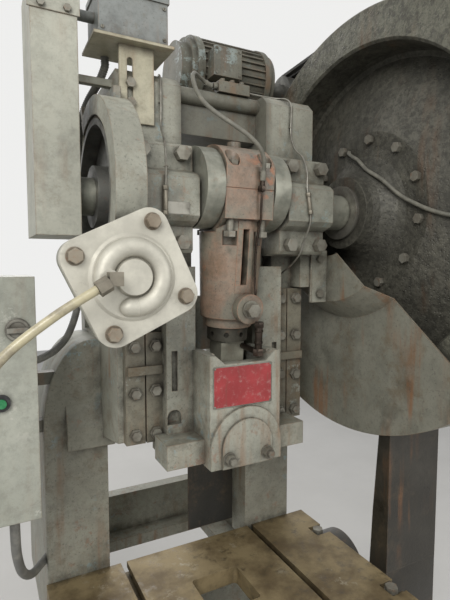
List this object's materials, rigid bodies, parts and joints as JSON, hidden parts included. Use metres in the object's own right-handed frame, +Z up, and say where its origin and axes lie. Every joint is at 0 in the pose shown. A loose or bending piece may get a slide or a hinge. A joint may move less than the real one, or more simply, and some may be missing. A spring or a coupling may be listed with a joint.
{
  "type": "mechanical stamping press",
  "caption": "Open-back inclinable mechanical power press with open crank, connecting rod, slide in gibs, flywheel with guard, band brake with air actuator, bolster and control cabinet.",
  "frame": {"origin": "on the floor, straight below the centre line of the slide and its tool shank hole, in the plane of the crank axis", "axes": "+Z up along the slide's travel, +X along the crankshaft towards the flywheel, +Y from the operator's side to the back"},
  "size_m": [1.7755, 1.6552, 2.69],
  "materials": {
    "frame_paint": "worn grey-green machine paint, oily and rust-stained",
    "stand_paint": "dark worn paint, oily",
    "bare_steel": "plain steel, dull and oily",
    "cap_paint": "worn grey-green machine paint over cast steel",
    "bolt_steel": "oily steel with paint remains and rust",
    "bearing_bronze": "bearing bronze, oily",
    "crank_steel": "machined steel with green-grey film of oil",
    "rod_primer": "reddish primer showing through grey paint",
    "screw_steel": "oily machined steel",
    "collar_steel": "dark pitted steel",
    "oil_tube": "dark brown oily steel tube",
    "brake_iron": "machined brake surface",
    "lining": "dark brake lining",
    "cast_aluminium": "bare cast aluminium, slightly stained",
    "rubber_black": "black rubber",
    "actuator_bolt": "brownish rusty bolt heads",
    "fitting": "dull plated pipe fitting",
    "cream_hose": "cream plastic hose with grime",
    "wheel_iron": "rough dark iron with oily grime",
    "guard_paint": "pale grey paint with orange rust streaks",
    "motor_paint": "grey paint, dusty",
    "hose_grey": "grey rubber hose",
    "conduit": "grey flexible conduit",
    "chain_paint": "pale grey-green sheet, chipped",
    "cream_paint": "cream paint with rust at the bolts",
    "cabinet_paint": "pale grey-green enamel with smudges",
    "button_green": "green push button",
    "black_plastic": "dark plastic",
    "bolster_steel": "brown mottled oily steel plate",
    "panel_dark": "dark grey sheet",
    "switch_paint": "blue-grey enamel"
  },
  "bodies": {
    "stand": {"left_leg": "stand_paint", "right_leg": "stand_paint", "leg_tie_rods": "bare_steel"},
    "machine": {"incline_pins": "bare_steel", "incline_lock_bolts": "bolt_steel", "frame": "frame_paint", "bolster_plate": "bolster_steel", "frame_bolts": "bolt_steel", "left_bearing_cap": "cap_paint", "right_bearing_cap": "cap_paint", "cap_bolts": "bolt_steel", "main_bearings": "bearing_bronze", "brake_housing": "cap_paint", "brake_lining": "lining", "actuator_housing": "cap_paint", "actuator_diaphragm": "rubber_black", "actuator_cover": "cast_aluminium", "actuator_bolts": "actuator_bolt", "air_fittings": "fitting", "air_hose": "cream_hose", "guard_sheet": "guard_paint", "guard_stand": "stand_paint", "guard_bracket": "frame_paint", "motor": "motor_paint", "motor_bracket": "motor_paint", "drive_belts": "rubber_black", "gib_plates": "cap_paint", "gib_bolts": "bolt_steel", "lube_lines": "bare_steel", "grease_manifold": "motor_paint", "grease_hose": "hose_grey", "chain_guard": "chain_paint", "slotted_bracket": "cream_paint", "cam_switch_box": "switch_paint", "flexible_conduit": "conduit", "control_cabinet": "cabinet_paint", "cabinet_bracket": "motor_paint", "cabinet_conduits": "conduit", "rear_panel": "panel_dark"},
    "crank": {"crankshaft": "crank_steel", "brake_drum": "brake_iron"},
    "connecting_rod": {"conrod": "rod_primer", "conrod_cap": "rod_primer", "conrod_cap_bolts": "bolt_steel", "adjusting_screw": "screw_steel", "lock_collar": "collar_steel", "clamp_bolt": "bolt_steel", "conrod_oil_tube": "oil_tube"},
    "ram": {"slide": "frame_paint", "die_clamp": "cap_paint", "clamp_studs": "bolt_steel"},
    "wheel": {"flywheel": "wheel_iron", "flywheel_bolts": "bolt_steel", "flywheel_bearing": "bare_steel", "flywheel_air_line": "hose_grey"},
    "pulley": {"motor_pulley": "brake_iron"},
    "door": {"cabinet_door": "cabinet_paint", "button_bezel": "black_plastic"},
    "latch": {"door_latch": "bare_steel"},
    "button": {"start_button": "button_green"}
  },
  "joints": [
    {"name": "frame_incline", "type": "hinge", "parent": "stand", "child": "machine", "pos_m": [0, 0.12, 0.56], "axis": [-1, 0, 0], "range_deg": [0, 25]},
    {"name": "crank_turn", "type": "hinge", "parent": "machine", "child": "crank", "pos_m": [0, 0, 1.962], "axis": [1, 0, 0], "range_deg": [-48, 132], "deforming": ["grease_hose"]},
    {"name": "rod_swing", "type": "hinge", "parent": "crank", "child": "connecting_rod", "pos_m": [0, -0.04247, 2.00024], "axis": [1, 0, 0], "range_deg": [-132, 48]},
    {"name": "slide_travel", "type": "slide", "parent": "machine", "child": "ram", "axis": [0, 0, 1], "range_m": [-0.08382, 0.03048]},
    {"name": "flywheel_spin", "type": "hinge", "parent": "machine", "child": "wheel", "pos_m": [0, 0, 1.962], "axis": [1, 0, 0], "continuous": true},
    {"name": "pulley_spin", "type": "hinge", "parent": "machine", "child": "pulley", "pos_m": [0, 0.51, 2.55], "axis": [1, 0, 0], "continuous": true},
    {"name": "door_swing", "type": "hinge", "parent": "machine", "child": "door", "pos_m": [-0.969, -0.058, 1.449], "axis": [0, 0, -1], "range_deg": [0, 110]},
    {"name": "latch_turn", "type": "hinge", "parent": "door", "child": "latch", "pos_m": [-0.604, -0.08, 1.625], "axis": [0, 1, 0], "range_deg": [0, 90]},
    {"name": "button_press", "type": "slide", "parent": "door", "child": "button", "axis": [0, 1, 0], "range_m": [0, 0.005], "stiffness_N_per_m": 800}
  ],
  "couplings": [
    {"joint": "rod_swing", "follows": "crank_turn", "ratio": -1},
    {"joint": "slide_travel", "follows": "crank_turn", "m_per_rad": -0.036383},
    {"joint": "pulley_spin", "follows": "flywheel_spin", "ratio": 9.7571}
  ]
}
